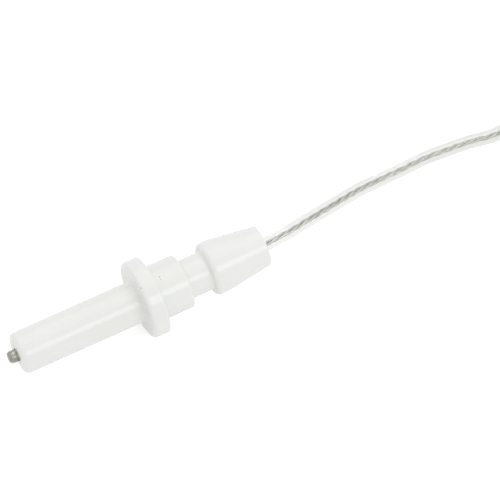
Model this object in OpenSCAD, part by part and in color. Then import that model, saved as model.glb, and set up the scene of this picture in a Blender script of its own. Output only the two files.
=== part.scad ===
// Ignition electrode for a gas burner: a glazed ceramic body, a spark rod sealed in it, and a
// high-voltage lead that ends in a push-on terminal with a cover that slides back along the lead.
// X runs along the body from the tip to the lead and Z is up. The origin is the centre of the
// flange's front face. The part lies on the rim of its flange.

/* [Ceramic body] */
// Diameter of the barrel that passes through the burner
barrel_d = 7.0; // [6:0.1:8.4]
// Length of the barrel in front of the flange
barrel_len = 21.4; // [16:0.1:30]
// Rounding of the barrel's front edge
barrel_edge_r = 0.9; // [0.3:0.05:1]
// Diameter of the locating flange
flange_d = 13.2; // [11:0.1:16]
// Thickness of the locating flange
flange_len = 2.75; // [2:0.05:3.5]
// Rounding of the flange's front edge
flange_edge_r = 0.6; // [0.2:0.05:0.8]
// Diameter of the shank behind the flange
shank_d = 9.1; // [9:0.1:10.8]
// Length of the shank behind the flange
shank_len = 5.4; // [4:0.1:7]
// Diameter at the bottom of the clip groove
groove_d = 6.5; // [5.4:0.1:7.8]
// Width of the clip groove
groove_len = 4.2; // [3:0.1:5.2]
// Diameter of the tail at its thick end
tail_d = 9.0; // [8:0.1:9]
// Length of the tail's straight land
tail_land_len = 2.0; // [1.5:0.1:3]
// Rounding of the tail's front edge
tail_edge_r = 0.8; // [0.2:0.05:0.9]
// Whole length of the tail
tail_len = 10.2; // [8:0.1:13]
// Diameter of the tail where the lead comes out
tail_end_d = 6.9; // [5.7:0.1:7.9]
// Radius of the curve from the land to the taper
tail_blend_r = 10; // [6:1:14]
// Rounding of the ceramic's other outer edges
edge_r = 0.3; // [0.15:0.05:0.5]
// Rounding at the bottom of the clip groove
groove_fillet_r = 0.4; // [0.1:0.05:0.5]

/* [Spark rod] */
// Diameter of the spark rod
rod_d = 2.1; // [1.7:0.05:2.6]
// How far the rod stands out of the barrel
rod_out = 1.5; // [1:0.05:4]
// Rounding of the rod's worn tip
rod_tip_r = 0.4; // [0.1:0.05:0.6]
// Diameter of the collar that seats on the step in the bore
collar_d = 3.4; // [3:0.1:4.1]
// Thickness of the collar
collar_len = 1.2; // [0.8:0.1:2]
// How far the collar's seat lies in front of the flange's front face
collar_seat = 6.0; // [4:0.1:10]
// Diameter of the thin spigot behind the collar
spigot_d = 0.9; // [0.7:0.05:1.2]
// Length of the thin spigot
spigot_len = 4.3; // [3.8:0.1:5.2]
// Radial clearance of the rod in the front bore
rod_clear = 0.1; // [0.05:0.01:0.2]
// Radial clearance of the collar in the rear bore
collar_clear = 0.2; // [0.1:0.05:0.4]
// Length of the cement behind the collar
cement_len = 1.5; // [1:0.1:1.9]

/* [Lead] */
// Outer diameter of the lead's silicone jacket
lead_d = 2.3; // [1.9:0.05:2.8]
// Diameter of one strand of the conductor
strand_d = 0.18; // [0.15:0.01:0.22]
// Length of conductor bared for the splice
bared_len = 4.4; // [3.8:0.1:5.2]
// Length of the sealant plug in the mouth of the rear bore
seal_len = 2.8; // [1.5:0.1:5]
// Depth of the sealant's face inside the mouth
seal_recess = 0.2; // [0:0.05:0.6]

/* [Splice ferrule] */
// Length of the ferrule
ferrule_len = 6.8; // [6:0.1:7.4]
// Gap between the cement and the ferrule
ferrule_gap = 0.1; // [0:0.1:0.5]
// Gap between the ends of spigot and conductor inside the ferrule
butt_gap = 0.5; // [0.2:0.1:0.8]
// Wall of the ferrule
ferrule_wall = 0.65; // [0.4:0.05:0.75]
// Radial clearance of conductor and spigot in the ferrule
crimp_clear = 0.02; // [0.01:0.01:0.05]
// Depth of the flats that the crimping tool leaves
crimp_dent = 0.12; // [0.05:0.01:0.2]
// Length of each crimp
crimp_dent_len = 1.8; // [1:0.1:2.2]

/* [Hank] */
// Length of the hank's straight runs
hank_len = 23; // [15:1:40]
// Radius of the tightest fold, in lead diameters
fold_ratio = 3; // [3:0.5:5]
// How far the tie pulls each side of the hank in
hank_pinch = 1.0; // [0:0.1:1.5]
// Gap between a turn and the turn that crosses it
crossing_gap = 0.05; // [0:0.01:0.2]
// Width of the tie
tie_w = 3.0; // [2:0.1:5]
// Thickness of the tie
tie_t = 0.4; // [0.2:0.05:0.6]

/* [Terminal] */
// Width of the receptacle for a 2.8 mm tab
socket_w = 3.5; // [3.4:0.1:4.2]
// Length of the receptacle
socket_len = 6.6; // [5.5:0.1:8]
// Thickness of the terminal's sheet
sheet_t = 0.3; // [0.25:0.01:0.36]
// Height of the slot that takes the tab
slot_h = 0.55; // [0.5:0.01:0.66]
// Outer radius of the rolled sides
roll_r = 0.75; // [0.7:0.01:0.8]
// Length of the bridge between receptacle and conductor crimp
bridge_len = 1.5; // [1:0.1:2.5]
// Width of the bridge
bridge_w = 1.2; // [1:0.1:1.6]
// Length of the conductor crimp
wire_crimp_len = 2.4; // [1.8:0.1:3]
// How far the strands stand out of the conductor crimp
wire_past = 0.3; // [0:0.1:0.8]
// Length of the gap between the two crimps
crimp_gap = 0.8; // [0.5:0.1:1.2]
// Gap between the jacket's cut end and the web that rises to the conductor crimp
web_clear = 0.1; // [0.05:0.01:0.15]
// Length of the jacket crimp
jacket_crimp_len = 2.2; // [1.6:0.1:3]

/* [Terminal cover] */
// Wall of the terminal cover
cover_wall = 0.5; // [0.4:0.05:0.7]
// Radial clearance of the cover around the receptacle
cover_clear = 0.2; // [0.15:0.05:0.4]
// Radial clearance of the cover's neck around the lead
neck_clear = 0.15; // [0.1:0.05:0.3]
// Length of the cover's neck
neck_len = 2.0; // [1.5:0.1:2.4]
// How far the cover reaches past the receptacle's mouth
cover_over = 0.7; // [0.2:0.1:1.2]
// How far the cover's shoulder stays behind the jacket crimp
cover_back = 0.6; // [0.3:0.1:0.8]

/* [Hidden] */

fine = 96;          // segments of a full circle
arc_steps = 8;      // segments of one rounded edge
tube_sides = 8;     // sides of the lead outside the body
fold_steps = 24;    // segments of one fold of the hank
run_steps = 12;     // segments of one straight run of the hank
past = 0.5;         // how far a cutter runs past what it cuts

// Stations along X
flange_back_x = flange_len;
shank_back_x = flange_back_x + shank_len;
tail_front_x = shank_back_x + groove_len;
mouth_x = tail_front_x + tail_len;
face_x = -barrel_len;
tip_x = face_x - rod_out;
seat_x = -collar_seat;
collar_back_x = seat_x + collar_len;
spigot_back_x = collar_back_x + spigot_len;
cement_back_x = collar_back_x + cement_len;
ferrule_x = cement_back_x + ferrule_gap;
ferrule_back_x = ferrule_x + ferrule_len;
strands_x = spigot_back_x + butt_gap;
jacket_x = strands_x + bared_len;

// Diameters that follow from what goes in
front_bore_d = rod_d + 2 * rod_clear;
rear_bore_d = collar_d + 2 * collar_clear;
core_d = 3 * strand_d;
spigot_bore_d = spigot_d + 2 * crimp_clear;
core_bore_d = core_d + 2 * crimp_clear;
ferrule_d = max(spigot_bore_d, core_bore_d) + 2 * ferrule_wall;
lead_r = lead_d / 2;

// The lead's route out of the body, from the centre of the mouth
run_points = [[0, 0, 0], [4.6, 0.4, -0.3], [9.6, 1.5, -1.2], [14.6, 2.8, -2.6], [19.6, 4.1, -4],
              [24.3, 4.8, -5], [28.8, 5.1, -5.4], [33.2, 5.3, -5.45], [37.6, 5, -5.45],
              [41.6, 4.65, -5.45], [45, 4, -5.45], [47.5, 3.95, -5.4], [50, 4.25, -5.2],
              [52.5, 4.9, -5.05], [55.1, 5.2, -5.05]];
run_end = run_points[len(run_points) - 1];

// The hank: two flat turns side by side, and the last run on top of them
fold_r = fold_ratio * lead_d;
outer_fold_r = fold_r + lead_d;
hank_x = mouth_x + run_end[0];
hank_y = run_end[1] - outer_fold_r;
hank_low_z = run_end[2] - lead_r;
hank_mid_z = hank_low_z + lead_d;
hank_high_z = hank_mid_z + lead_d + crossing_gap;
hank_end_x = hank_x + hank_len;
hank_out = [hank_end_x, hank_y + fold_r, hank_high_z - lead_r];

// The lead's route from the hank to the terminal, from the place where it leaves the hank
end_points = [[0, 0, 0], [4.5, 0, 0], [8.6, 0, 0], [11.6, 0, -0.6], [14.6, 0, -1.25],
              [19, 0, -1.25], [23.5, 0, -1.25], [28.8, 0, -1.25]];
end_end = end_points[len(end_points) - 1];

// The terminal's stations, along X from the back of the jacket crimp
jacket_end_x = hank_out[0] + end_end[0];
terminal_x = jacket_end_x - jacket_crimp_len - crimp_gap / 2;
wire_crimp_x = jacket_end_x + crimp_gap / 2;
bridge_x = wire_crimp_x + wire_crimp_len;
socket_x = bridge_x + bridge_len;
socket_end_x = socket_x + socket_len;
terminal_y = hank_out[1];
terminal_z = hank_out[2] + end_end[2];
wire_crimp_r = core_d / 2 + crimp_clear + sheet_t;
jacket_crimp_r = lead_r + sheet_t;
sheet_z = -wire_crimp_r;
roll_y = socket_w / 2 - roll_r;
roll_z = sheet_z + roll_r;
socket_reach = max(norm([socket_w / 2, sheet_z]), norm([roll_y, roll_z]) + roll_r);
cover_bore_r = max(socket_reach, jacket_crimp_r) + cover_clear;
cover_r = cover_bore_r + cover_wall;
neck_bore_r = lead_r + neck_clear;
neck_r = neck_bore_r + cover_wall;
shoulder_x = terminal_x - cover_back;
cover_end_x = socket_end_x + cover_over;

// Points of a rounded corner, for a profile of [radius, station]
function arc(c, r, from, to) =
    [for (i = [0:arc_steps]) let (a = from + (to - from) * i / arc_steps)
        [c[0] + r * cos(a), c[1] + r * sin(a)]];

// Points of a swept tube: one ring at each point of the route, square to the route there
function unit(v) = v / norm(v);
function heading(p, i) =
    unit(p[min(i + 1, len(p) - 1)] - p[max(i - 1, 0)]);
function end_heading(p, i) = i == 0 || i == len(p) - 1 ? [1, 0, 0] : heading(p, i);
function ring(c, t, r) =
    let (side = unit(cross([0, 0, 1], t)), up = cross(t, side))
    [for (k = [0:tube_sides - 1]) let (a = (k + 0.5) * 360 / tube_sides)
        c + r * (cos(a) * side + sin(a) * up)];

// Half the hank's width beside its straight runs, for the lead's line at radius r
function pulled(r, x) = r - hank_pinch * (1 - cos(360 * x / hank_len)) / 2;
// The same at the edge of the tie, where the pull is a little less
function tied(r) = pulled(r, (hank_len - tie_w) / 2) + lead_r;
// The radius of the near fold, which draws in from the outer turn to the inner one
function drawn_in(share) = fold_r + lead_d * cos(90 * share * share * (3 - 2 * share));
function straight(r, side, from, to) =
    [for (i = [0:run_steps]) let (x = from + (to - from) * i / run_steps)
        [hank_x + x, hank_y + side * pulled(r, x)]];
function far_fold(r) =
    [for (i = [1:fold_steps - 1]) let (a = 90 - 180 * i / fold_steps)
        [hank_end_x + r * cos(a), hank_y + r * sin(a)]];
function near_fold(grow) =
    [for (i = [1:fold_steps]) let (s = i / fold_steps, a = -90 - 180 * s, r = drawn_in(s) + grow)
        [hank_x + r * cos(a), hank_y + r * sin(a)]];

// The body's axis lies along X
module along_x(x = 0) {
    translate([x, 0, 0]) rotate([0, 90, 0]) children();
}

module tube_along(p, r) {
    rings = [for (i = [0:len(p) - 1]) each ring(p[i], end_heading(p, i), r)];
    n = tube_sides;
    last = (len(p) - 1) * n;
    sides = [for (i = [0:len(p) - 2], k = [0:n - 1])
        [i * n + k, i * n + (k + 1) % n, (i + 1) * n + (k + 1) % n, (i + 1) * n + k]];
    polyhedron(points = rings,
               faces = concat([[for (k = [0:n - 1]) n - 1 - k]], sides,
                              [[for (k = [0:n - 1]) last + k]]),
               convexity = 6);
}

// The ceramic, turned from one profile. The tail's side is a straight land, a curve and a taper.
module insulator() {
    tail_r = tail_d / 2;
    tail_end_r = tail_end_d / 2;
    land_x = tail_front_x + tail_land_len;
    taper = atan((tail_r - tail_end_r) / (mouth_x - land_x));
    blend_in = tail_blend_r * tan(taper / 2);
    profile = concat(
        [[front_bore_d / 2, face_x]],
        arc([barrel_d / 2 - barrel_edge_r, face_x + barrel_edge_r], barrel_edge_r, -90, 0),
        [[barrel_d / 2, 0]],
        arc([flange_d / 2 - flange_edge_r, flange_edge_r], flange_edge_r, -90, 0),
        arc([flange_d / 2 - edge_r, flange_back_x - edge_r], edge_r, 0, 90),
        [[shank_d / 2, flange_back_x]],
        arc([shank_d / 2 - edge_r, shank_back_x - edge_r], edge_r, 0, 90),
        arc([groove_d / 2 + groove_fillet_r, shank_back_x + groove_fillet_r],
            groove_fillet_r, 270, 180),
        arc([groove_d / 2 + groove_fillet_r, tail_front_x - groove_fillet_r],
            groove_fillet_r, 180, 90),
        arc([tail_r - tail_edge_r, tail_front_x + tail_edge_r], tail_edge_r, -90, 0),
        arc([tail_r - tail_blend_r, land_x - blend_in], tail_blend_r, 0, taper),
        arc([tail_end_r - edge_r, mouth_x - edge_r], edge_r, taper, 90),
        [[rear_bore_d / 2, mouth_x], [rear_bore_d / 2, seat_x], [front_bore_d / 2, seat_x]]);
    color("white") along_x() rotate_extrude($fn = fine) polygon(profile);
}

module electrode_rod() {
    profile = concat(
        [[0, tip_x]],
        arc([rod_d / 2 - rod_tip_r, tip_x + rod_tip_r], rod_tip_r, -90, 0),
        [[rod_d / 2, seat_x], [collar_d / 2, seat_x], [collar_d / 2, collar_back_x],
         [spigot_d / 2, collar_back_x], [spigot_d / 2, spigot_back_x], [0, spigot_back_x]]);
    color("slategray") along_x() rotate_extrude($fn = fine) polygon(profile);
}

module rod_cement() {
    color("gainsboro") along_x(collar_back_x) difference() {
        cylinder(d = rear_bore_d, h = cement_len, $fn = fine);
        translate([0, 0, -past]) cylinder(d = spigot_d, h = cement_len + 2 * past, $fn = fine);
    }
}

// The ferrule's bore is stepped: the spigot's half is as wide as the spigot, the other as the conductor
module splice_ferrule() {
    flat = ferrule_d / 2 - crimp_dent;
    color("silver") along_x(ferrule_x) difference() {
        cylinder(d = ferrule_d, h = ferrule_len, $fn = fine);
        translate([0, 0, -past]) cylinder(d = spigot_bore_d, h = strands_x - ferrule_x + past, $fn = fine);
        cylinder(d = core_bore_d, h = ferrule_len + past, $fn = fine);
        for (share = [0.25, 0.75], side = [-1, 1])
            translate([side * (flat + past), 0, share * ferrule_len])
                cube([2 * past, ferrule_d + past, crimp_dent_len], center = true);
    }
}

// Seven straight strands, one in the middle and six round it
module strands(length) {
    cylinder(d = strand_d - crimp_clear / 2, h = length, $fn = 24);
    for (k = [0:5])
        rotate(60 * k) translate([strand_d, 0, 0])
            cylinder(d = strand_d - crimp_clear / 2, h = length, $fn = 24);
}

module splice_strands() {
    color("lightgray") along_x(strands_x) strands(bared_len);
}

module inner_jacket() {
    length = mouth_x - jacket_x;
    color("ghostwhite") along_x(jacket_x) difference() {
        cylinder(d = lead_d, h = length, $fn = fine);
        translate([0, 0, -past]) cylinder(d = core_d, h = length + 2 * past, $fn = fine);
    }
}

module inner_core() {
    color("lightgray") along_x(jacket_x) cylinder(d = core_d, h = mouth_x - jacket_x, $fn = fine);
}

module rear_sealant() {
    color("whitesmoke") along_x(mouth_x - seal_recess - seal_len) difference() {
        cylinder(d = rear_bore_d, h = seal_len, $fn = fine);
        translate([0, 0, -past]) cylinder(d = lead_d, h = seal_len + 2 * past, $fn = fine);
    }
}

module lead_run() {
    color("ghostwhite") translate([mouth_x, 0, 0]) tube_along(run_points, lead_r);
}

// The outer shape of the hank: a flat loop two leads wide, and one run that lies on top
module lead_hank() {
    outline = concat(straight(outer_fold_r + lead_r, 1, 0, hank_len),
                     far_fold(outer_fold_r + lead_r),
                     straight(outer_fold_r + lead_r, -1, hank_len, 0),
                     near_fold(lead_r));
    hole = concat(straight(fold_r - lead_r, 1, 0, hank_len), far_fold(fold_r - lead_r),
                  straight(fold_r - lead_r, -1, hank_len, 0),
                  [for (i = [1:fold_steps - 1]) let (a = -90 - 180 * i / fold_steps)
                      [hank_x + (fold_r - lead_r) * cos(a), hank_y + (fold_r - lead_r) * sin(a)]]);
    top_run = concat(straight(fold_r + lead_r, 1, 0, hank_len),
                     straight(fold_r - lead_r, 1, hank_len, 0));
    color("ghostwhite") {
        translate([0, 0, hank_low_z]) linear_extrude(lead_d) difference() {
            polygon(outline);
            polygon(hole);
        }
        translate([0, 0, hank_mid_z]) linear_extrude(hank_high_z - hank_mid_z) polygon(top_run);
    }
}

// A band drawn round both sides of the hank at its middle
module hank_tie() {
    outer_y = tied(outer_fold_r);
    top_y = tied(fold_r);
    function band(t) = [[hank_y - outer_y - t, hank_low_z - t], [hank_y + outer_y + t, hank_low_z - t],
                        [hank_y + outer_y + t, hank_mid_z + t], [hank_y + top_y + t, hank_high_z + t],
                        [hank_y + top_y - lead_d, hank_high_z + t], [hank_y - outer_y - t, hank_mid_z + t]];
    color("whitesmoke") difference() {
        translate([hank_x + (hank_len - tie_w) / 2, 0, 0])
            rotate([90, 0, 90]) linear_extrude(tie_w) difference() {
                polygon(band(tie_t));
                polygon(band(0));
            }
        lead_hank();
    }
}

module lead_end() {
    color("ghostwhite") translate(hank_out) tube_along(end_points, lead_r);
}

module at_terminal(x) {
    translate([x, terminal_y, terminal_z]) rotate([90, 0, 90]) children();
}

// One rolled side of the receptacle, open below on its inner side, where the tab goes in
module rolled_side(side) {
    difference() {
        translate([side * roll_y, roll_z]) circle(r = roll_r, $fn = fine);
        translate([side * roll_y, roll_z]) circle(r = roll_r - sheet_t, $fn = fine);
        translate([side * roll_y - (side > 0 ? roll_r + past : 0), sheet_z - past])
            square([roll_r + past, past + sheet_t + slot_h]);
    }
}

module crimp_barrel(r, length) {
    difference() {
        cylinder(r = r, h = length, $fn = fine);
        translate([0, 0, -past]) cylinder(r = r - sheet_t, h = length + 2 * past, $fn = fine);
        translate([0, r, length / 2]) rotate(45)
            cube([sheet_t, sheet_t, length + 2 * past], center = true);
    }
}

module terminal() {
    inset = 0.05;   // how far a flat web stays inside the rolled pieces that it joins
    color("tan") {
        at_terminal(socket_x) linear_extrude(socket_len) {
            translate([-roll_y, sheet_z]) square([2 * roll_y, sheet_t]);
            rolled_side(-1);
            rolled_side(1);
        }
        at_terminal(bridge_x - inset) translate([-bridge_w / 2, sheet_z + inset, 0])
            cube([bridge_w, sheet_t - 2 * inset, bridge_len + 2 * inset]);
        at_terminal(wire_crimp_x) crimp_barrel(wire_crimp_r, wire_crimp_len);
        // The web lies under the jacket's end, and rises past it to the conductor crimp
        at_terminal(wire_crimp_x - crimp_gap - inset) difference() {
            translate([-bridge_w / 2, inset - jacket_crimp_r, 0])
                cube([bridge_w, jacket_crimp_r + sheet_z + sheet_t - 2 * inset,
                      crimp_gap + 2 * inset]);
            translate([-bridge_w, -lead_r, -past])
                cube([2 * bridge_w, 2 * lead_r, past + inset + crimp_gap / 2 + web_clear]);
        }
        at_terminal(terminal_x) crimp_barrel(jacket_crimp_r, jacket_crimp_len);
    }
}

module terminal_strands() {
    length = bridge_x - jacket_end_x + wire_past;
    color("lightgray") at_terminal(jacket_end_x) strands(length);
}

module terminal_cover() {
    body_len = cover_end_x - shoulder_x;
    color("white", 0.6) at_terminal(shoulder_x - neck_len) difference() {
        union() {
            cylinder(r = neck_r, h = neck_len + cover_wall, $fn = fine);
            translate([0, 0, neck_len]) cylinder(r = cover_r, h = body_len, $fn = fine);
        }
        translate([0, 0, -past]) cylinder(r = neck_bore_r, h = neck_len + 3 * past, $fn = fine);
        translate([0, 0, neck_len + cover_wall]) cylinder(r = cover_bore_r, h = body_len, $fn = fine);
    }
}

insulator();
electrode_rod();
rod_cement();
splice_ferrule();
splice_strands();
inner_jacket();
inner_core();
rear_sealant();
lead_run();
lead_hank();
lead_end();
hank_tie();
terminal();
terminal_strands();
terminal_cover();
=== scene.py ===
import math

import bmesh
import bpy
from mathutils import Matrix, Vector
from mathutils.noise import noise as perlin


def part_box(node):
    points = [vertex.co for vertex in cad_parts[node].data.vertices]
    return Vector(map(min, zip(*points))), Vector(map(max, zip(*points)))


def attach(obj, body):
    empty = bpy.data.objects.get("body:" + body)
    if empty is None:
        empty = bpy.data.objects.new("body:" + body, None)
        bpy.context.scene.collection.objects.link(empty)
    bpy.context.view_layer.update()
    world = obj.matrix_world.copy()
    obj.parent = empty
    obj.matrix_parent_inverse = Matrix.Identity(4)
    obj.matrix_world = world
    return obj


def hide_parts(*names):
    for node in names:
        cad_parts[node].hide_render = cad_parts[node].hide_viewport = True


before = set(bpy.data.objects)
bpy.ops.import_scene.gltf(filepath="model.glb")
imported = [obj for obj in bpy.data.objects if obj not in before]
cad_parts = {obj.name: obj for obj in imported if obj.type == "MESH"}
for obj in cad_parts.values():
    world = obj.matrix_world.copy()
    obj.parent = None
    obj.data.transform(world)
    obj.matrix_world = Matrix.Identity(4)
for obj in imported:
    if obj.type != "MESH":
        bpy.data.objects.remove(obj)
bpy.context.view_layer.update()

MM = 0.001
UP = Vector((0, 0, 1))

# ---------------------------------------------------------------- camera
AZIMUTH = math.radians(-27.15)      # from +X towards -Y, of the picture's right-hand direction
ELEVATION = math.radians(60.4)
CAMERA_DISTANCE = 520 * MM
VIEW_WIDTH = 80.4 * MM              # what the picture shows at the flange's distance
AIM_RIGHT = 18.09 * MM              # from the origin to the middle of the picture
AIM_UP = 8.20 * MM
SENSOR = 36.0


def make_camera():
    right = Vector((math.cos(AZIMUTH), math.sin(AZIMUTH), 0))
    ahead = UP.cross(right)
    forward = ahead * math.cos(ELEVATION) - UP * math.sin(ELEVATION)
    up = right.cross(forward)
    data = bpy.data.cameras.new("camera")
    data.sensor_width = SENSOR
    data.lens = SENSOR * CAMERA_DISTANCE / VIEW_WIDTH
    data.clip_start = 0.01
    data.clip_end = 20
    camera = bpy.data.objects.new("camera", data)
    bpy.context.scene.collection.objects.link(camera)
    camera.location = right * AIM_RIGHT + up * AIM_UP - forward * CAMERA_DISTANCE
    camera.rotation_mode = "QUATERNION"
    camera.rotation_quaternion = forward.to_track_quat("-Z", "Y")
    bpy.context.scene.camera = camera


make_camera()

# ---------------------------------------------------------------- the lead's route
LEAD_D = 2.3 * MM
LEAD_R = LEAD_D / 2
FOLD_R = 3 * LEAD_D                 # the hank's inner fold
OUTER_FOLD_R = FOLD_R + LEAD_D
HANK_LEN = 23 * MM
HANK_PINCH = 1.0 * MM
CROSSING_GAP = 0.05 * MM
HANK_STEPS = 24                     # along each straight or fold of the hank
STEP = 0.6 * MM                     # between rings of the jacket
EASING_PASSES = 12                  # over the whole route
JACKET_SIDES = 28

# From the centre of the mouth, in millimetres
RUN_POINTS = [
    (0, 0, 0), (4.6, 0.4, -0.3), (9.6, 1.5, -1.2), (14.6, 2.8, -2.6), (19.6, 4.1, -4),
    (24.3, 4.8, -5), (28.8, 5.1, -5.4), (33.2, 5.3, -5.45), (37.6, 5, -5.45),
    (41.6, 4.65, -5.45), (45, 4, -5.45), (47.5, 3.95, -5.4), (50, 4.25, -5.2),
    (52.5, 4.9, -5.05), (55.1, 5.2, -5.05),
]
# From the place where the lead leaves the hank, in millimetres
END_POINTS = [
    (0, 0, 0), (4.5, 0, 0), (8.6, 0, 0), (11.6, 0, -0.6), (14.6, 0, -1.25), (19, 0, -1.25),
    (23.5, 0, -1.25), (28.8, 0, -1.25),
]

body_low, body_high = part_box("insulator")
MOUTH = Vector((body_high.x, 0, 0))
hank_start = MOUTH + Vector(RUN_POINTS[-1]) * MM
HANK_X = hank_start.x
HANK_END_X = HANK_X + HANK_LEN
HANK_Y = hank_start.y - OUTER_FOLD_R
LOW_Z = hank_start.z
HIGH_Z = LOW_Z + LEAD_D + CROSSING_GAP
HANK_OUT = Vector((HANK_END_X, HANK_Y + FOLD_R, HIGH_Z))


def smooth(share):
    return share * share * (3 - 2 * share)


def pulled(radius, x):
    """Half the hank's width at x along its straight run, for a turn of that radius."""
    return radius - HANK_PINCH * (1 - math.cos(2 * math.pi * x / HANK_LEN)) / 2


def hank_turns():
    """The centreline through the hank: an outer turn, an inner turn, and a last run on top."""
    points = []

    def straight(radius, side, start, end, z):
        for i in range(1, HANK_STEPS):
            x = start + (end - start) * i / HANK_STEPS
            points.append(Vector((HANK_X + x, HANK_Y + side * pulled(radius, x), z)))

    def fold(centre_x, first, radius, height):
        for i in range(HANK_STEPS + 1):
            share = i / HANK_STEPS
            angle = first - math.pi * share
            r = radius(share)
            points.append(Vector((centre_x + r * math.cos(angle), HANK_Y + r * math.sin(angle),
                                  height(share))))

    def eased(share):
        """A quarter turn, eased at both ends."""
        return smooth(share) * math.pi / 2

    quarter = math.pi / 2
    rise = HIGH_Z - LOW_Z
    straight(OUTER_FOLD_R, 1, 0, HANK_LEN, LOW_Z)
    fold(HANK_END_X, quarter, lambda s: OUTER_FOLD_R, lambda s: LOW_Z)
    straight(OUTER_FOLD_R, -1, HANK_LEN, 0, LOW_Z)
    fold(HANK_X, -quarter, lambda s: FOLD_R + LEAD_D * math.cos(eased(s)), lambda s: LOW_Z)
    straight(FOLD_R, 1, 0, HANK_LEN, LOW_Z)
    fold(HANK_END_X, quarter, lambda s: FOLD_R, lambda s: LOW_Z)
    straight(FOLD_R, -1, HANK_LEN, 0, LOW_Z)
    fold(HANK_X, -quarter, lambda s: FOLD_R, lambda s: LOW_Z + rise * math.sin(eased(s)))
    straight(FOLD_R, 1, 0, HANK_LEN, HIGH_Z)
    return points


def catmull(points, first_heading, last_heading):
    """A smooth line through the points, densely sampled."""
    n = len(points)
    headings = []
    for i in range(n):
        before = points[max(i - 1, 0)]
        after = points[min(i + 1, n - 1)]
        headings.append((after - before).normalized())
    headings[0] = first_heading
    headings[-1] = last_heading
    dense = []
    for i in range(n - 1):
        a, b = points[i], points[i + 1]
        reach = (b - a).length
        ta, tb = headings[i] * reach, headings[i + 1] * reach
        count = max(2, round(reach / (0.25 * STEP)))
        for k in range(count):
            s = k / count
            s2, s3 = s * s, s * s * s
            dense.append(a * (2 * s3 - 3 * s2 + 1) + ta * (s3 - 2 * s2 + s)
                         + b * (3 * s2 - 2 * s3) + tb * (s3 - s2))
    dense.append(points[-1])
    return dense


def relaxed(points, passes):
    """The same line with its small kinks eased, its two ends held."""
    line = [p.copy() for p in points]
    for _ in range(passes):
        line = ([line[0], line[1]]
                + [(line[i - 1] + line[i] * 2 + line[i + 1]) / 4 for i in range(2, len(line) - 2)]
                + [line[-2], line[-1]])
    return line


def evenly(points, step):
    """Points at equal steps along a line."""
    lengths = [0.0]
    for a, b in zip(points, points[1:]):
        lengths.append(lengths[-1] + (b - a).length)
    count = max(2, round(lengths[-1] / step))
    spaced = []
    at = 0
    for k in range(count + 1):
        want = lengths[-1] * k / count
        while at < len(points) - 2 and lengths[at + 1] < want:
            at += 1
        share = (want - lengths[at]) / max(lengths[at + 1] - lengths[at], 1e-12)
        spaced.append(points[at].lerp(points[at + 1], min(max(share, 0), 1)))
    return spaced


def line_length(points):
    return sum((b - a).length for a, b in zip(points, points[1:]))


def lead_route():
    along = Vector((1, 0, 0))
    run = catmull([MOUTH + Vector(p) * MM for p in RUN_POINTS], along, along)
    end = catmull([HANK_OUT + Vector(p) * MM for p in END_POINTS], along, along)
    whole = evenly(run + hank_turns() + end, 0.5 * STEP)
    return evenly(relaxed(whole, EASING_PASSES), STEP)


# ---------------------------------------------------------------- meshes
def mesh_object(name, verts, faces, finish=None, smooth_faces=True):
    mesh = bpy.data.meshes.new(name)
    mesh.from_pydata([tuple(v) for v in verts], [], faces)
    mesh.update()
    if smooth_faces:
        mesh.polygons.foreach_set("use_smooth", [True] * len(mesh.polygons))
    obj = bpy.data.objects.new(name, mesh)
    bpy.context.scene.collection.objects.link(obj)
    if finish:
        mesh.materials.append(finish)
    return obj


def carried_frames(line):
    """(heading, side, up) at each point of a line, carried along it without twist."""
    n = len(line)
    headings = [(line[min(i + 1, n - 1)] - line[max(i - 1, 0)]).normalized() for i in range(n)]
    side = UP.cross(headings[0]).normalized()
    frames = []
    for heading in headings:
        side = (side - heading * side.dot(heading)).normalized()
        frames.append((heading, side, heading.cross(side)))
    return frames


def tube(line, radius, sides, frames=None):
    """Vertices and faces of a closed round tube along a line."""
    frames = frames or carried_frames(line)
    verts, faces = [], []
    for p, (_, side, up) in zip(line, frames):
        for k in range(sides):
            a = 2 * math.pi * k / sides
            verts.append(p + side * (radius * math.cos(a)) + up * (radius * math.sin(a)))
    for i in range(len(line) - 1):
        for k in range(sides):
            a, b = i * sides + k, i * sides + (k + 1) % sides
            faces.append((a, b, b + sides, a + sides))
    last = (len(line) - 1) * sides
    faces.append(tuple(reversed(range(sides))))
    faces.append(tuple(last + k for k in range(sides)))
    return verts, faces


def joined(shapes):
    verts, faces = [], []
    for v, f in shapes:
        start = len(verts)
        verts += v
        faces += [tuple(i + start for i in face) for face in f]
    return verts, faces


BUNDLES = 3                         # bundles of fine wires, laid round each other
BUNDLE_R = 0.128 * MM
BUNDLE_LAY = 6.4 * MM               # length in which a bundle goes once round
WIRES = 5                           # wires that show round one bundle
WIRE_RIDGE = 0.14                   # height of a wire's ridge, as a share of the bundle's radius
WIRE_LAY = 9.0 * MM
WIRE_SIDES = 3                      # sides of the bundle's surface for each wire
CONDUCTOR_STEP = 0.3 * MM


def fluted_tube(line, frames, sides, turn):
    """A tube whose surface has the wires' ridges. turn(i) is the ridges' angle at ring i."""
    verts, faces = tube(line, BUNDLE_R, sides, frames)
    for i, p in enumerate(line):
        for k in range(sides):
            ridge = 1 + WIRE_RIDGE * math.cos(WIRES * 2 * math.pi * k / sides + turn(i))
            verts[i * sides + k] = p + (verts[i * sides + k] - p) * ridge
    return verts, faces


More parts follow.
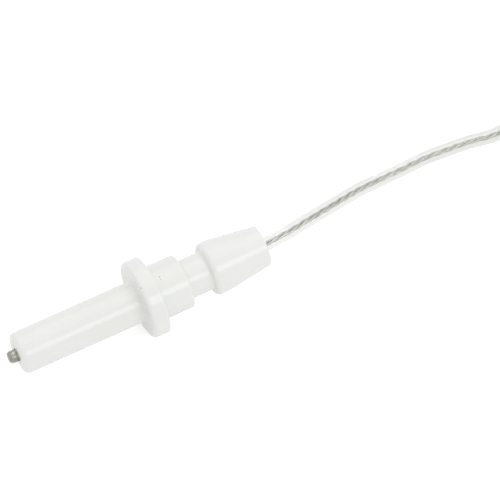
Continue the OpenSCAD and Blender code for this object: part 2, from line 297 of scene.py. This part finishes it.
def twisted_bundles(line):
    """The conductor: bundles of wires laid round each other, each with its own twist."""
    line = evenly(line, CONDUCTOR_STEP)
    frames = carried_frames(line)
    step = line_length(line) / (len(line) - 1)
    pitch_r = BUNDLE_R / math.sin(math.pi / BUNDLES)
    shapes = []
    for k in range(BUNDLES):
        path = []
        for i, (p, (_, side, up)) in enumerate(zip(line, frames)):
            a = 2 * math.pi * (k / BUNDLES - i * step / BUNDLE_LAY)
            path.append(p + side * (pitch_r * math.cos(a)) + up * (pitch_r * math.sin(a)))
        shapes.append(fluted_tube(path, carried_frames(path), WIRE_SIDES * WIRES,
                                  lambda i: 2 * math.pi * WIRES * i * step / WIRE_LAY + k))
    return joined(shapes)


def arc(radius, station, rounding, start, end, steps=12):
    """A rounded corner of a profile, about the centre (radius, station). Angles are in degrees."""
    angles = [math.radians(start + (end - start) * i / steps) for i in range(steps + 1)]
    return [(radius + rounding * math.cos(a), station + rounding * math.sin(a)) for a in angles]


def filled_in(profile, longest, guard):
    """The profile with more points on its straight stretches, none over longest apart.

    The first and last of them are a guard's length from the stretch's ends.
    """
    made = []
    for (r0, x0), (r1, x1) in zip(profile, profile[1:] + profile[:1]):
        made.append((r0, x0))
        reach = math.hypot(r1 - r0, x1 - x0)
        if reach < 4 * guard:
            continue
        count = math.ceil((reach - 2 * guard) / longest)
        places = [guard + (reach - 2 * guard) * i / count for i in range(count + 1)]
        made += [(r0 + (r1 - r0) * d / reach, x0 + (x1 - x0) * d / reach) for d in places]
    return made


def turned(name, profile, sides, offset, finish):
    """A closed solid turned about X from a closed profile of (radius, station) in millimetres.

    offset(point, radius) says how far a point is moved along its radius, in millimetres.
    """
    made = bmesh.new()
    rings = []
    for radius, station in profile:
        ring = []
        for k in range(sides if radius > 0 else 1):
            a = 2 * math.pi * k / sides
            out = Vector((0, math.cos(a), math.sin(a)))
            point = Vector((station, 0, 0)) + out * radius
            point += out * offset(point, radius)
            ring.append(made.verts.new(point * MM))
        rings.append(ring)
    for this, after in zip(rings, rings[1:] + rings[:1]):
        if len(this) == 1 and len(after) == 1:
            continue
        for k in range(sides):
            n = (k + 1) % sides
            corners = [this[k], this[n]] if len(this) > 1 else [this[0]]
            corners += [after[n], after[k]] if len(after) > 1 else [after[0]]
            made.faces.new(corners)
    bmesh.ops.recalc_face_normals(made, faces=made.faces)
    for face in made.faces:
        face.smooth = True
    mesh = bpy.data.meshes.new(name)
    made.to_mesh(mesh)
    made.free()
    mesh.materials.append(finish)
    obj = bpy.data.objects.new(name, mesh)
    bpy.context.scene.collection.objects.link(obj)
    return obj


# ---------------------------------------------------------------- materials
NOISE_LOW = 0.3                     # most of a noise texture's values lie between these
NOISE_HIGH = 0.7


def material(name):
    made = bpy.data.materials.new(name)
    made.use_nodes = True
    nodes = made.node_tree.nodes
    links = made.node_tree.links
    shader = nodes["Principled BSDF"]
    return made, nodes, links, shader


def noise(nodes, links, scale, detail, roughness, stretch=None):
    """A noise texture, its scale in waves per metre of the piece. stretch scales each axis."""
    where = nodes.new("ShaderNodeTexCoord")
    socket = where.outputs["Object"]
    if stretch:
        mapping = nodes.new("ShaderNodeMapping")
        mapping.inputs["Scale"].default_value = stretch
        links.new(socket, mapping.inputs["Vector"])
        socket = mapping.outputs["Vector"]
    texture = nodes.new("ShaderNodeTexNoise")
    texture.inputs["Scale"].default_value = scale
    texture.inputs["Detail"].default_value = detail
    texture.inputs["Roughness"].default_value = roughness
    links.new(socket, texture.inputs["Vector"])
    return texture.outputs["Fac"]


def ramp(nodes, links, factor, stops):
    """A colour ramp of (place, colour) stops over a factor."""
    made = nodes.new("ShaderNodeValToRGB")
    links.new(factor, made.inputs["Fac"])
    elements = made.color_ramp.elements
    elements[0].position, elements[0].color = stops[0][0], (*stops[0][1], 1)
    elements[1].position, elements[1].color = stops[-1][0], (*stops[-1][1], 1)
    for place, colour in stops[1:-1]:
        extra = elements.new(place)
        extra.color = (*colour, 1)
    return made.outputs["Color"]


def spread(nodes, links, factor, low, high):
    """The noise's usual range mapped onto low to high."""
    made = nodes.new("ShaderNodeMapRange")
    made.inputs["From Min"].default_value = NOISE_LOW
    made.inputs["From Max"].default_value = NOISE_HIGH
    made.inputs["To Min"].default_value = low
    made.inputs["To Max"].default_value = high
    links.new(factor, made.inputs["Value"])
    return made.outputs["Result"]


def bump(nodes, links, shader, height, depth):
    """Bump of that depth in metres."""
    made = nodes.new("ShaderNodeBump")
    made.inputs["Strength"].default_value = 1.0
    made.inputs["Distance"].default_value = depth
    links.new(height, made.inputs["Height"])
    links.new(made.outputs["Normal"], shader.inputs["Normal"])


def mixed(nodes, links, factor, a, b):
    """A colour from a to b as the factor goes from 0 to 1. Each is a socket or a colour."""
    made = nodes.new("ShaderNodeMix")
    made.data_type = "RGBA"
    links.new(factor, made.inputs["Factor"])
    for socket, value in (("A", a), ("B", b)):
        target = [i for i in made.inputs if i.name == socket and i.type == "RGBA"][0]
        if isinstance(value, bpy.types.NodeSocket):
            links.new(value, target)
        else:
            target.default_value = (*value, 1)
    return [o for o in made.outputs if o.type == "RGBA"][0]


# Shares of a speck's radius: how ragged its edge is, and where it starts and ends to fade.
# The raggedness adds half of its share to a distance on average, so a speck ends near its radius.
SPECK_RAGGED = 1.6
SPECK_FADE_START = 1.2
SPECK_FADE_END = 1.8


def spot(nodes, links, centre, radius):
    """1 close to a place on the piece, falling to 0 at about radius, with a soft ragged edge."""
    where = nodes.new("ShaderNodeTexCoord")
    apart = nodes.new("ShaderNodeVectorMath")
    apart.operation = "DISTANCE"
    apart.inputs[1].default_value = centre
    links.new(where.outputs["Object"], apart.inputs[0])
    ragged = nodes.new("ShaderNodeMath")
    ragged.operation = "MULTIPLY_ADD"
    ragged.inputs[1].default_value = SPECK_RAGGED * radius
    links.new(noise(nodes, links, scale=6500, detail=2, roughness=0.6), ragged.inputs[0])
    links.new(apart.outputs["Value"], ragged.inputs[2])
    made = nodes.new("ShaderNodeMapRange")
    made.inputs["From Min"].default_value = SPECK_FADE_START * radius
    made.inputs["From Max"].default_value = SPECK_FADE_END * radius
    made.inputs["To Min"].default_value = 1
    made.inputs["To Max"].default_value = 0
    links.new(ragged.outputs[0], made.inputs["Value"])
    return made.outputs["Result"]


# Specks on the glaze: (place in mm, radius in mm, colour). All but two are kiln specks.
SPECKS = [
    ((4.11, 0.01, 4.55), 0.12, (0.34, 0.28, 0.20)),
    ((4.04, -0.48, 4.52), 0.14, (0.74, 0.48, 0.26)),
    ((0.20, -1.33, 6.27), 0.12, (0.32, 0.30, 0.25)),
    # Two dark specks on the rear end, beside the lead's exit
    ((22.28, -0.9, 2.9), 0.09, (0.30, 0.27, 0.22)),
    ((22.30, 0.3, 2.75), 0.07, (0.34, 0.31, 0.27)),
    ((6.4, 2.6, -3.7), 0.11, (0.45, 0.36, 0.25)),
    ((-9.5, 2.9, -1.95), 0.08, (0.50, 0.45, 0.38)),
]


def glaze_material():
    made, nodes, links, shader = material("white_glaze")
    clouds = noise(nodes, links, scale=160, detail=4, roughness=0.6)
    colour = ramp(nodes, links, clouds, [(NOISE_LOW, (0.868, 0.878, 0.844)),
                                         (NOISE_HIGH, (0.894, 0.902, 0.873))])
    for place, radius, tint in SPECKS:
        factor = spot(nodes, links, Vector(place) * MM, radius * MM)
        colour = mixed(nodes, links, factor, colour, tint)
    links.new(colour, shader.inputs["Base Color"])
    ripple = noise(nodes, links, scale=420, detail=2, roughness=0.5)
    gloss = spread(nodes, links, ripple, low=0.05, high=0.10)
    links.new(gloss, shader.inputs["Roughness"])
    shader.inputs["Subsurface Weight"].default_value = 0.15
    shader.inputs["Subsurface Radius"].default_value = (1.0, 0.95, 0.80)
    shader.inputs["Subsurface Scale"].default_value = 0.7 * MM
    waves = noise(nodes, links, scale=330, detail=2, roughness=0.5)
    bump(nodes, links, shader, waves, depth=0.004 * MM)
    return made


def steel_material():
    made, nodes, links, shader = material("rod_steel")
    pits = noise(nodes, links, scale=2600, detail=4, roughness=0.65)
    stain = noise(nodes, links, scale=1200, detail=4, roughness=0.6)
    shade = ramp(nodes, links, stain, [(0.30, (0.14, 0.135, 0.11)), (0.42, (0.37, 0.365, 0.32)),
                                       (0.58, (0.48, 0.475, 0.42)), (0.66, (0.95, 0.95, 0.92))])
    links.new(shade, shader.inputs["Base Color"])
    shader.inputs["Metallic"].default_value = 1.0
    links.new(spread(nodes, links, pits, low=0.22, high=0.45), shader.inputs["Roughness"])
    bump(nodes, links, shader, pits, depth=0.09 * MM)
    return made


def strand_material():
    made, nodes, links, shader = material("tinned_copper")
    stain = noise(nodes, links, scale=1500, detail=3, roughness=0.6)
    shade = ramp(nodes, links, stain, [(NOISE_LOW, (0.44, 0.45, 0.41)),
                                       (NOISE_HIGH, (0.64, 0.65, 0.60))])
    links.new(shade, shader.inputs["Base Color"])
    shader.inputs["Metallic"].default_value = 1.0
    shader.inputs["Roughness"].default_value = 0.24
    bump(nodes, links, shader, stain, depth=0.006 * MM)
    return made


def clear_material(name, tint, roughness, clearness, ior):
    """A clear rubber or plastic wall, through which the lamps reach what is inside it.

    clearness is its share of transmission. Worn places are up to 1.6 times as rough.
    """
    made, nodes, links, shader = material(name)
    shader.inputs["Base Color"].default_value = (*tint, 1)
    shader.inputs["Transmission Weight"].default_value = clearness
    shader.inputs["IOR"].default_value = ior
    wear = noise(nodes, links, scale=500, detail=3, roughness=0.5)
    links.new(spread(nodes, links, wear, roughness, roughness * 1.6), shader.inputs["Roughness"])
    waves = noise(nodes, links, scale=260, detail=2, roughness=0.5)
    bump(nodes, links, shader, waves, depth=0.004 * MM)
    through = nodes.new("ShaderNodeBsdfTransparent")
    through.inputs["Color"].default_value = (*tint, 1)
    path = nodes.new("ShaderNodeLightPath")
    mixer = nodes.new("ShaderNodeMixShader")
    links.new(path.outputs["Is Shadow Ray"], mixer.inputs[0])
    links.new(shader.outputs["BSDF"], mixer.inputs[1])
    links.new(through.outputs["BSDF"], mixer.inputs[2])
    links.new(mixer.outputs["Shader"], nodes["Material Output"].inputs["Surface"])
    return made


def chalky_material(name, low, high, roughness, grain, depth):
    """A dull, fine-grained surface: cement, sealant or a tie's plastic."""
    made, nodes, links, shader = material(name)
    spots = noise(nodes, links, grain, detail=5, roughness=0.65)
    shade = ramp(nodes, links, spots, [(NOISE_LOW, low), (NOISE_HIGH, high)])
    links.new(shade, shader.inputs["Base Color"])
    links.new(spread(nodes, links, spots, roughness * 0.85, roughness), shader.inputs["Roughness"])
    bump(nodes, links, shader, spots, depth)
    return made


def sheet_metal_material(name, low, high, roughness):
    """Drawn or rolled sheet, with fine lines along X and a stain between two colours."""
    made, nodes, links, shader = material(name)
    lines = noise(nodes, links, scale=500, detail=4, roughness=0.6, stretch=(0.5, 8, 8))
    stain = noise(nodes, links, scale=380, detail=3, roughness=0.6)
    shade = ramp(nodes, links, stain, [(NOISE_LOW, low), (NOISE_HIGH, high)])
    links.new(shade, shader.inputs["Base Color"])
    shader.inputs["Metallic"].default_value = 1.0
    links.new(spread(nodes, links, stain, roughness, roughness * 1.5), shader.inputs["Roughness"])
    bump(nodes, links, shader, lines, depth=0.008 * MM)
    return made


glaze = glaze_material()
steel = steel_material()
tinned = strand_material()
silicone = clear_material("clear_silicone", (0.925, 0.930, 0.912),
                          roughness=0.02, clearness=0.92, ior=1.41)
cover_plastic = clear_material("cover_plastic", (0.93, 0.95, 0.95),
                               roughness=0.12, clearness=0.88, ior=1.46)
cement = chalky_material("cement", (0.62, 0.60, 0.55), (0.76, 0.74, 0.69),
                         roughness=0.9, grain=1800, depth=0.03 * MM)
sealant = chalky_material("sealant", (0.80, 0.80, 0.77), (0.86, 0.86, 0.84),
                          roughness=0.55, grain=900, depth=0.02 * MM)
tie_plastic = chalky_material("tie_plastic", (0.80, 0.80, 0.77), (0.86, 0.86, 0.83),
                              roughness=0.5, grain=1200, depth=0.008 * MM)
ferrule_metal = sheet_metal_material("ferrule_metal", (0.50, 0.49, 0.46), (0.66, 0.65, 0.61),
                                     roughness=0.25)
terminal_metal = sheet_metal_material("tinned_brass", (0.60, 0.57, 0.48), (0.74, 0.71, 0.62),
                                      roughness=0.22)

FINISHES = {
    "rod_cement": cement,
    "splice_ferrule": ferrule_metal,
    "splice_strands": tinned,
    "inner_jacket": silicone,
    "inner_core": tinned,
    "rear_sealant": sealant,
    "terminal": terminal_metal,
    "terminal_strands": tinned,
    "terminal_cover": cover_plastic,
}


def finish_cad_nodes():
    for name, finish in FINISHES.items():
        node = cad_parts[name]
        node.data.materials.clear()
        node.data.materials.append(finish)


finish_cad_nodes()


# ---------------------------------------------------------------- ceramic body and spark rod
# Radii and stations along X, in millimetres
FACE_X = body_low.x / MM
MOUTH_X = body_high.x / MM
FLANGE_R = body_high.y / MM
BARREL_R = 3.5
BARREL_EDGE_R = 0.9
FLANGE_LEN = 2.75
FLANGE_EDGE_R = 0.6
SHANK_R = 4.55
SHANK_LEN = 5.4
SHANK_BACK_X = FLANGE_LEN + SHANK_LEN
GROOVE_R = 3.25
GROOVE_LEN = 4.2
GROOVE_FILLET_R = 0.4
TAIL_FRONT_X = SHANK_BACK_X + GROOVE_LEN
TAIL_R = 4.5
TAIL_EDGE_R = 0.8
TAIL_LAND_LEN = 2.0
TAIL_LAND_X = TAIL_FRONT_X + TAIL_LAND_LEN
TAIL_END_R = 3.45
TAIL_BLEND_R = 10
EDGE_R = 0.3
GLAZE_FILLET_R = 0.6                # what the glaze fills in where the barrel meets the flange
FRONT_BORE_R = 1.15
REAR_BORE_R = 1.9
SEAT_X = -6.0
BODY_SIDES = 144
LONG_WAVE, LONG_WAVES = 0.012, 0.35      # height, and waves per millimetre
SHORT_WAVE, SHORT_WAVES = 0.005, 1.1
WAVE_INSET = 0.010                  # how far the waves' middle lies under the true surface


def glaze_offset(point, radius):
    """Slow waves in the glaze's outer surface. The bores are true."""
    if radius <= REAR_BORE_R:
        return 0.0
    return (LONG_WAVE * perlin(point * LONG_WAVES) + SHORT_WAVE * perlin(point * SHORT_WAVES)
            - WAVE_INSET)


def make_insulator():
    taper = math.atan((TAIL_R - TAIL_END_R) / (MOUTH_X - TAIL_LAND_X))
    taper_degrees = math.degrees(taper)
    blend_in = TAIL_BLEND_R * math.tan(taper / 2)
    fillet_centre_r = GROOVE_R + GROOVE_FILLET_R
    profile = [(FRONT_BORE_R, FACE_X)]
    profile += arc(BARREL_R - BARREL_EDGE_R, FACE_X + BARREL_EDGE_R, BARREL_EDGE_R, -90, 0, 16)
    profile += arc(BARREL_R + GLAZE_FILLET_R, -GLAZE_FILLET_R, GLAZE_FILLET_R, 180, 90)
    profile += arc(FLANGE_R - FLANGE_EDGE_R, FLANGE_EDGE_R, FLANGE_EDGE_R, -90, 0)
    profile += arc(FLANGE_R - EDGE_R, FLANGE_LEN - EDGE_R, EDGE_R, 0, 90)
    profile += arc(SHANK_R + EDGE_R, FLANGE_LEN + EDGE_R, EDGE_R, 270, 180)
    profile += arc(SHANK_R - EDGE_R, SHANK_BACK_X - EDGE_R, EDGE_R, 0, 90)
    profile += arc(fillet_centre_r, SHANK_BACK_X + GROOVE_FILLET_R, GROOVE_FILLET_R, 270, 180)
    profile += arc(fillet_centre_r, TAIL_FRONT_X - GROOVE_FILLET_R, GROOVE_FILLET_R, 180, 90)
    profile += arc(TAIL_R - TAIL_EDGE_R, TAIL_FRONT_X + TAIL_EDGE_R, TAIL_EDGE_R, -90, 0)
    profile += arc(TAIL_R - TAIL_BLEND_R, TAIL_LAND_X - blend_in, TAIL_BLEND_R, 0, taper_degrees)
    profile += arc(TAIL_END_R - EDGE_R, MOUTH_X - EDGE_R, EDGE_R, taper_degrees, 90)
    profile += [(REAR_BORE_R, MOUTH_X), (REAR_BORE_R, SEAT_X), (FRONT_BORE_R, SEAT_X)]
    profile = filled_in(profile, longest=0.6, guard=0.03)
    body = turned("glazed_body", profile, BODY_SIDES, glaze_offset, glaze)
    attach(body, "electrode")
    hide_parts("insulator")


rod_low, rod_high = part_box("electrode_rod")
TIP_X = rod_low.x / MM
ROD_R = 1.05
ROD_TIP_R = 0.4
COLLAR_R = rod_high.y / MM
COLLAR_LEN = 1.2
COLLAR_BACK_X = SEAT_X + COLLAR_LEN
SPIGOT_R = 0.45
SPIGOT_BACK_X = rod_high.x / MM
ROD_SIDES = 96
TIP_DIP_R = 0.3                     # a shallow dip round the middle of the tip's face
TIP_DIP = 0.02
WORN_LEN = 1.2                      # how far the tip is worn and pitted by sparks
CLOSE_LEN = 2.5                     # how far the rod keeps all of its profile's points
THINNING = 8                        # past that it keeps one point of so many
PIT_DEPTH = 0.035                   # at the tip, before the two noises below are added
COARSE_PIT, COARSE_PITS = 0.06, 2.3     # height, and pits per millimetre
FINE_PIT, FINE_PITS = 0.05, 5.1
CHIP, CHIPS = 0.24, 1.6
TRUE_MIDDLE_R = 0.1
CHIP_LEAST = 0.05                   # the noise below which nothing is chipped
CHIP_PLACE = Vector((3, 1, 7))      # where in the noise the chips are taken from


def worn_offset(point, radius):
    """Pits and a chipped edge on the rod's tip, always inwards.

    The middle of its face and the collar stay true.
    """
    if radius < TRUE_MIDDLE_R or radius > 1.01 * ROD_R:
        return 0.0
    wear = max(0.0, 1 - (point.x - TIP_X) / WORN_LEN)
    pits = (PIT_DEPTH + COARSE_PIT * perlin(point * COARSE_PITS)
            + FINE_PIT * perlin(point * FINE_PITS))
    chips = CHIP * max(0.0, perlin(point * CHIPS + CHIP_PLACE) - CHIP_LEAST) * wear ** 2
    return -max(0.0, pits) * wear - chips


def make_rod():
    profile = [(0, TIP_X), (TIP_DIP_R, TIP_X + TIP_DIP)]
    profile += arc(ROD_R - ROD_TIP_R, TIP_X + ROD_TIP_R, ROD_TIP_R, -90, 0)
    profile += [(ROD_R, TIP_X + WORN_LEN)]
    plain = [(ROD_R, SEAT_X), (COLLAR_R, SEAT_X), (COLLAR_R, COLLAR_BACK_X),
             (SPIGOT_R, COLLAR_BACK_X), (SPIGOT_R, SPIGOT_BACK_X), (0, SPIGOT_BACK_X)]
    profile = filled_in(profile + plain, longest=0.07, guard=0.02)
    profile = [p for i, p in enumerate(profile)
               if p[1] < TIP_X + CLOSE_LEN or i % THINNING == 0 or p in plain]
    rod = turned("worn_rod", profile, ROD_SIDES, worn_offset, steel)
    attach(rod, "electrode")
    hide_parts("electrode_rod")


make_insulator()
make_rod()


# ---------------------------------------------------------------- lead
def make_lead():
    route = lead_route()
    jacket = mesh_object("lead_jacket", *tube(route, LEAD_R, JACKET_SIDES), silicone)
    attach(jacket, "electrode")
    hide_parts("lead_run", "lead_hank", "lead_end")
    conductor = mesh_object("lead_conductor", *twisted_bundles(route), tinned)
    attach(conductor, "electrode")
    return route, jacket, conductor


# ---------------------------------------------------------------- tie round the hank
TIE_W = 3.0 * MM
TIE_T = 0.25 * MM
TIE_CORE_R = 0.1 * MM               # of the wire that shows down the middle
TIE_STEP = 0.35 * MM
TIE_EASING_PASSES = 3
RIM_POINTS = 48                     # round each run of the lead that the tie goes over
TIE_END_W = 1.6 * MM                # the two ends are narrower
TIE_END_CORE_R = 0.15 * MM
TIE_END_LEN = 7 * MM
TIE_END_TURNS = 2.5
TIE_END_STEPS = 70
TIE_END_START = Vector((0, -0.5 * MM, 0.35 * MM))    # from the top of the loop
TIE_END_ASIDE = 0.25                # how far an end goes along X, as a share of its length
TIE_END_ARCH = 0.9                  # its rise in the middle, in millimetres
TIE_END_DROP = 1.1                  # its drop at the far end
TIE_TWIST_R = 0.22                  # from the twist's middle to each end, in millimetres
TIE_SPREAD = 1.1                    # how much further from it each finishes
TIE_SPREAD_SHARE = 0.2              # of an end's length, past the twist, where the two part


def hull(points):
    """The convex hull of flat points, anticlockwise."""
    points = sorted(set(points))

    def half(these):
        kept = []
        for p in these:
            while len(kept) > 1 and ((kept[-1][0] - kept[-2][0]) * (p[1] - kept[-2][1])
                                     - (kept[-1][1] - kept[-2][1]) * (p[0] - kept[-2][0])) <= 0:
                kept.pop()
            kept.append(p)
        return kept[:-1]

    return half(points) + half(points[::-1])


def ribbon(line, across, width, thick, core_r):
    """A flat tie with a wire down its middle, swept along a line.

    across is the direction of its width at each point of the line.
    """
    half_w, half_t = width / 2, thick / 2
    flat_w = 0.86 * half_w
    edge_t = 0.55 * half_t
    section = [(-half_w, -edge_t), (-half_w, edge_t), (-flat_w, half_t)]
    section += [(-1.6 * core_r, half_t), (-0.8 * core_r, half_t + 0.75 * core_r)]
    section += [(0, half_t + core_r)]
    section += [(-x, y) for x, y in reversed(section[:-1])]
    section += [(flat_w, -half_t), (-flat_w, -half_t)]
    verts, faces = [], []
    n = len(section)
    count = len(line)
    for i, (p, a) in enumerate(zip(line, across)):
        heading = (line[min(i + 1, count - 1)] - line[max(i - 1, 0)]).normalized()
        a = (a - heading * a.dot(heading)).normalized()
        out = a.cross(heading)
        verts += [p + a * x + out * y for x, y in section]
    for i in range(count - 1):
        for k in range(n):
            a, b = i * n + k, i * n + (k + 1) % n
            faces.append((a, b, b + n, a + n))
    faces.append(tuple(reversed(range(n))))
    faces.append(tuple((count - 1) * n + k for k in range(n)))
    return verts, faces


def tie_loop():
    """The tie's middle line, round the hank's runs at the middle of its length."""
    x = (HANK_X + HANK_END_X) / 2
    half = HANK_LEN / 2
    outer, inner = pulled(OUTER_FOLD_R, half), pulled(FOLD_R, half)
    reach = LEAD_R + TIE_T / 2
    runs = [(outer, LOW_Z), (-outer, LOW_Z), (inner, HIGH_Z)]
    angles = [2 * math.pi * k / RIM_POINTS for k in range(RIM_POINTS)]
    rim = [(HANK_Y + y + reach * math.cos(a), z + reach * math.sin(a))
           for y, z in runs for a in angles]
    loop = [Vector((x, y, z)) for y, z in hull(rim)]
    top = max(range(len(loop)), key=lambda i: loop[i].z)
    loop = loop[top:] + loop[:top + 1]
    return relaxed(evenly(loop, TIE_STEP), TIE_EASING_PASSES)


def tie_end(start, phase):
    """One of the tie's two ends: twisted round the other, parted from it, and bent down."""
    twist_share = 1 - TIE_SPREAD_SHARE
    line, across = [], []
    for i in range(TIE_END_STEPS + 1):
        share = i / TIE_END_STEPS
        rise = (TIE_END_ARCH * math.sin(math.pi * share) - TIE_END_DROP * share) * MM
        centre = start + Vector((TIE_END_ASIDE * TIE_END_LEN * share, -TIE_END_LEN * share, rise))
        angle = 2 * math.pi * (TIE_END_TURNS * min(share / twist_share, 1)) + phase
        out = Vector((math.cos(angle), 0, math.sin(angle)))
        parted = smooth(max(0, (share - twist_share) / TIE_SPREAD_SHARE))
        line.append(centre + out * ((TIE_TWIST_R + TIE_SPREAD * parted) * MM))
        across.append(Vector((-math.sin(angle), 0, math.cos(angle))))
    return ribbon(line, across, TIE_END_W, TIE_T, TIE_END_CORE_R)


def make_tie():
    loop = tie_loop()
    shapes = [ribbon(loop, [Vector((-1, 0, 0))] * len(loop), TIE_W, TIE_T, TIE_CORE_R)]
    shapes += [tie_end(loop[0] + TIE_END_START, phase) for phase in (0, math.pi)]
    tie = mesh_object("wire_tie", *joined(shapes), tie_plastic)
    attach(tie, "electrode")
    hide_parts("hank_tie")
    return tie


route, jacket, conductor = make_lead()
tie = make_tie()


# ---------------------------------------------------------------- floor, lamps and world
FLOOR_REACH = 1.5                   # metres each way
FLOOR_WHITE = (0.82, 0.82, 0.82)
FLOOR_GLOW = 0.16                   # what the object gets
FLOOR_GLOW_SEEN = 0.42              # what the camera sees
FLOOR_WHITE_THROUGH = 0.55          # share of plain white where a clear wall is in front
WORLD_LIGHT = 0.76                  # what the object gets
WORLD_SEEN = 1.0                    # what the camera sees, with clear walls between or without
# Name, place, aim, width and height, all in metres, and watts
LAMPS = [
    ("softbox", (0.329, -0.467, 0.497), (0.329, 0, 0), (0.5, 0.28), 0.78),
    ("sky", (0.05, 0.35, 0.6), (0.01, 0, 0), (1.0, 0.7), 1.0),
]


def make_floor():
    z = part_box("insulator")[0].z
    signs = [(-1, -1), (1, -1), (1, 1), (-1, 1)]
    corners = [(FLOOR_REACH * x, FLOOR_REACH * y, z) for x, y in signs]
    floor = mesh_object("floor", corners, [(0, 1, 2, 3)], smooth_faces=False)
    made, nodes, links, shader = material("floor_white")
    nodes.remove(shader)
    matt = nodes.new("ShaderNodeBsdfDiffuse")
    matt.inputs["Color"].default_value = (*FLOOR_WHITE, 1)
    path = nodes.new("ShaderNodeLightPath")
    # A little glow on the lit floor takes it to white, and leaves the shadow under the object
    strength = nodes.new("ShaderNodeMapRange")
    strength.inputs["To Min"].default_value = FLOOR_GLOW
    strength.inputs["To Max"].default_value = FLOOR_GLOW_SEEN
    links.new(path.outputs["Is Camera Ray"], strength.inputs["Value"])
    glow = nodes.new("ShaderNodeEmission")
    links.new(strength.outputs["Result"], glow.inputs["Strength"])
    lit = nodes.new("ShaderNodeAddShader")
    links.new(matt.outputs[0], lit.inputs[0])
    links.new(glow.outputs[0], lit.inputs[1])
    # Seen through clear rubber or plastic, the floor is nearer plain white
    share = nodes.new("ShaderNodeMath")
    share.operation = "MULTIPLY"
    share.inputs[1].default_value = FLOOR_WHITE_THROUGH
    links.new(path.outputs["Is Transmission Ray"], share.inputs[0])
    white = nodes.new("ShaderNodeEmission")
    both = nodes.new("ShaderNodeMixShader")
    links.new(share.outputs[0], both.inputs[0])
    links.new(lit.outputs[0], both.inputs[1])
    links.new(white.outputs[0], both.inputs[2])
    links.new(both.outputs[0], nodes["Material Output"].inputs["Surface"])
    floor.data.materials.append(made)


def make_world():
    world = bpy.data.worlds.new("studio")
    bpy.context.scene.world = world
    world.use_nodes = True
    nodes, links = world.node_tree.nodes, world.node_tree.links
    background = nodes["Background"]
    background.inputs["Color"].default_value = (1, 1, 1, 1)
    path = nodes.new("ShaderNodeLightPath")
    seen = nodes.new("ShaderNodeMath")
    seen.operation = "MAXIMUM"
    links.new(path.outputs["Is Camera Ray"], seen.inputs[0])
    links.new(path.outputs["Is Transmission Ray"], seen.inputs[1])
    strength = nodes.new("ShaderNodeMapRange")
    strength.inputs["To Min"].default_value = WORLD_LIGHT
    strength.inputs["To Max"].default_value = WORLD_SEEN
    links.new(seen.outputs[0], strength.inputs["Value"])
    links.new(strength.outputs["Result"], background.inputs["Strength"])


def area_lamp(name, place, aim, size, watts):
    data = bpy.data.lights.new(name, "AREA")
    data.shape = "RECTANGLE"
    data.size, data.size_y = size
    data.energy = watts
    lamp = bpy.data.objects.new(name, data)
    bpy.context.scene.collection.objects.link(lamp)
    lamp.location = place
    lamp.rotation_mode = "QUATERNION"
    lamp.rotation_quaternion = (Vector(aim) - Vector(place)).to_track_quat("-Z", "Y")


make_floor()
make_world()
for lamp in LAMPS:
    area_lamp(*lamp)

bpy.context.scene.view_settings.view_transform = "Standard"
